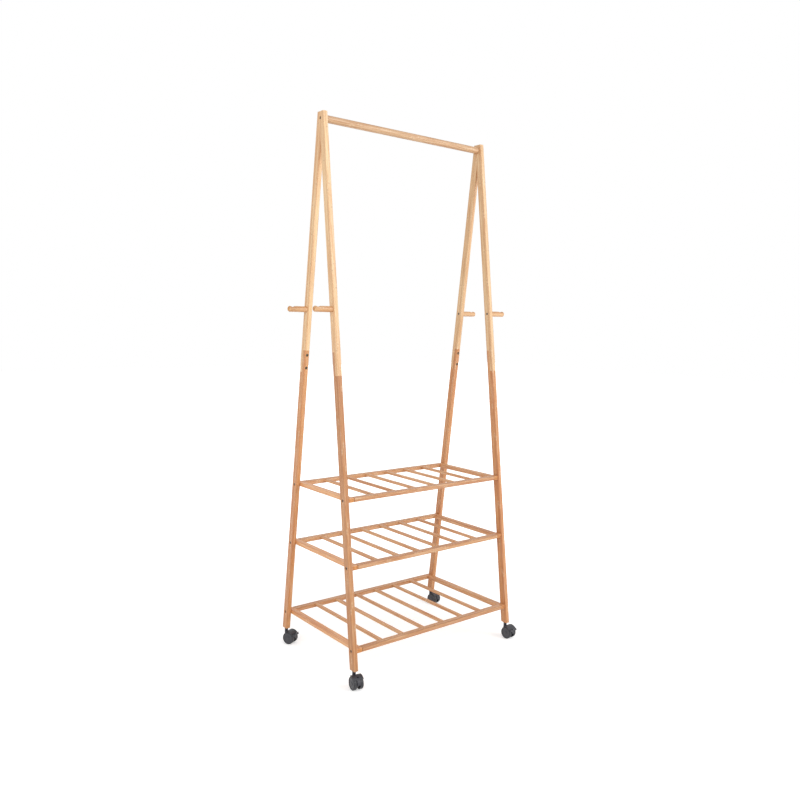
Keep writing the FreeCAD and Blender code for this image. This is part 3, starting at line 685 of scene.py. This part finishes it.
class RackCasters(bpy.types.Operator):
    """Gives the casters black nylon hoods, wheels and levers and steel axles"""
    bl_idname = "rack.casters"
    bl_label = "Casters"
    bl_options = {"REGISTER", "UNDO"}

    def execute(self, context):
        housing = nylon("moulded_black_nylon_housing")
        bright = plated("drawn_axle_steel", linear("#8C8A88"))
        for joint in frame["joints"]:
            if not joint["name"].endswith("wheel_1_roll"):
                continue
            corner = joint["name"][:-len("_wheel_1_roll")]
            axis = joint["axis"]
            turn = math.atan2(-axis[0], axis[1])
            wheels = nylon("moulded_black_nylon_" + corner + "_wheels", turn, joint["pos_m"])
            for number in (1, 2):
                dress(NODES["%s_wheel_%d" % (corner, number)], wheels)
            dress(NODES[corner + "_hood"], housing)
            dress(NODES[corner + "_axle"], bright)
            lever = NODES.get(corner + "_brake_lever")
            if lever:
                dress(lever, housing)
        return {"FINISHED"}


CAMERA_PLACE = (-1.5671, -1.9748, 1.0722)
CAMERA_TURN = (38.304, 5.751, 1.072)    # degrees: to the right of +Y, down, and tilted over
LAMP_TARGET = (0.0, 0.0, 0.9)
FLOOR_REACH = 14.0
FLOOR_GAP = 0.0002                # under the wheels, so that the two don't share a face


class RackStage(bpy.types.Operator):
    """Sets the floor, the soft studio light and the camera"""
    bl_idname = "rack.stage"
    bl_label = "Stage"
    bl_options = {"REGISTER", "UNDO"}

    def execute(self, context):
        sizes = context.scene.rack_stage
        scene = context.scene
        scene.view_settings.view_transform = "Standard"
        self.make_floor(scene, sizes)
        self.make_world(scene)
        self.make_lamp(scene, "key_light", (1.9, -3.4, 2.3), 2.4, sizes.key_power)
        self.make_lamp(scene, "fill_light", (-3.4, -1.4, 1.9), 2.6, sizes.fill_power)
        self.make_camera(scene, sizes)
        return {"FINISHED"}

    def make_floor(self, scene, sizes):
        mesh = bpy.data.meshes.new("floor")
        corners = ((-1, -1), (1, -1), (1, 1), (-1, 1))
        mesh.from_pydata([(x * FLOOR_REACH, y * FLOOR_REACH, -FLOOR_GAP) for x, y in corners],
                         [], [(0, 1, 2, 3)])
        floor = bpy.data.objects.new("floor", mesh)
        scene.collection.objects.link(floor)
        material = bpy.data.materials.new("matt_painted_floor")
        material.use_nodes = True
        tree = material.node_tree
        tree.nodes.clear()
        matt = add(tree, "ShaderNodeBsdfDiffuse", {"Color": sizes.floor})
        seen = self.seen_rays(tree)
        where = add(tree, "ShaderNodeTexCoord").outputs["Object"]
        away = add(tree, "ShaderNodeVectorMath", {0: where}, operation="LENGTH").outputs["Value"]
        level = add(tree, "ShaderNodeMapRange", {0: away, 1: 0.5, 2: 1.6, 3: 0.42, 4: 1.0})
        strength = add(tree, "ShaderNodeMath", {0: seen, 1: level.outputs[0]}, operation="MULTIPLY")
        glow = add(tree, "ShaderNodeEmission", {"Strength": strength.outputs[0]})
        both = add(tree, "ShaderNodeAddShader", {0: matt.outputs[0], 1: glow.outputs[0]})
        add(tree, "ShaderNodeOutputMaterial", {"Surface": both.outputs[0]})
        mesh.materials.append(material)

    def seen_rays(self, tree):
        """1 for rays from the camera or off gloss and glass, else 0."""
        path = add(tree, "ShaderNodeLightPath").outputs
        either = add(tree, "ShaderNodeMath", {0: path["Is Camera Ray"], 1: path["Is Glossy Ray"]},
                     operation="MAXIMUM")
        return add(tree, "ShaderNodeMath", {0: either.outputs[0], 1: path["Is Transmission Ray"]},
                   operation="MAXIMUM").outputs[0]

    def make_world(self, scene):
        world = bpy.data.worlds.new("studio")
        scene.world = world
        world.use_nodes = True
        tree = world.node_tree
        tree.nodes.clear()
        level = add(tree, "ShaderNodeMapRange", {0: self.seen_rays(tree), 3: 0.62, 4: 1.0})
        glow = add(tree, "ShaderNodeBackground", {"Color": (1.0, 1.0, 1.0, 1.0),
                                                  "Strength": level.outputs[0]})
        add(tree, "ShaderNodeOutputWorld", {"Surface": glow.outputs[0]})

    def make_lamp(self, scene, name, place, size, power):
        lamp = bpy.data.lights.new(name, "AREA")
        lamp.size, lamp.energy = size, power
        holder = bpy.data.objects.new(name, lamp)
        holder.location = place
        aim = Vector(LAMP_TARGET) - Vector(place)
        holder.rotation_euler = aim.to_track_quat("-Z", "Y").to_euler()
        scene.collection.objects.link(holder)

    def make_camera(self, scene, sizes):
        lens = bpy.data.cameras.new("camera")
        lens.sensor_width, lens.lens = 36.0, sizes.lens
        lens.clip_start, lens.clip_end = 0.05, 60.0
        camera = bpy.data.objects.new("camera", lens)
        yaw, pitch, roll = (math.radians(angle) for angle in CAMERA_TURN)
        ahead = Vector((math.sin(yaw) * math.cos(pitch), math.cos(yaw) * math.cos(pitch),
                        -math.sin(pitch)))
        right = Vector((math.cos(yaw), -math.sin(yaw), 0.0))
        up = right.cross(ahead)
        across = right * math.cos(roll) + up * math.sin(roll)
        upright = up * math.cos(roll) - right * math.sin(roll)
        frame_matrix = Matrix((across, upright, -ahead)).transposed().to_4x4()
        frame_matrix.translation = CAMERA_PLACE
        camera.matrix_world = frame_matrix
        scene.collection.objects.link(camera)
        scene.camera = camera


STEPS = (RackStage, RackLegs, RackRailAndPegs, RackShelfFrames, RackSlats, RackScrews, RackCasters)


class RackPanel(bpy.types.Panel):
    """Sizes, colours and steps of the rack"""
    bl_idname = "RACK_PT_panel"
    bl_label = "Rolling Clothes Rack"
    bl_space_type = "VIEW_3D"
    bl_region_type = "UI"
    bl_category = "Rack"

    def draw(self, context):
        for holder, group in SETTINGS.items():
            box = self.layout.box()
            for name in group.__annotations__:
                box.prop(getattr(context.scene, holder), name)
        for step in STEPS:
            self.layout.operator(step.bl_idname)


CLASSES = tuple(SETTINGS.values()) + STEPS + (RackPanel,)


def register():
    for cls in CLASSES:
        bpy.utils.register_class(cls)
    for holder, group in SETTINGS.items():
        setattr(bpy.types.Scene, holder, bpy.props.PointerProperty(type=group))


def unregister():
    for holder in SETTINGS:
        delattr(bpy.types.Scene, holder)
    for cls in reversed(CLASSES):
        bpy.utils.unregister_class(cls)


def main():
    register()
    for step in STEPS:
        family, name = step.bl_idname.split(".")
        getattr(getattr(bpy.ops, family), name)()


if __name__ == "__main__":
    main()
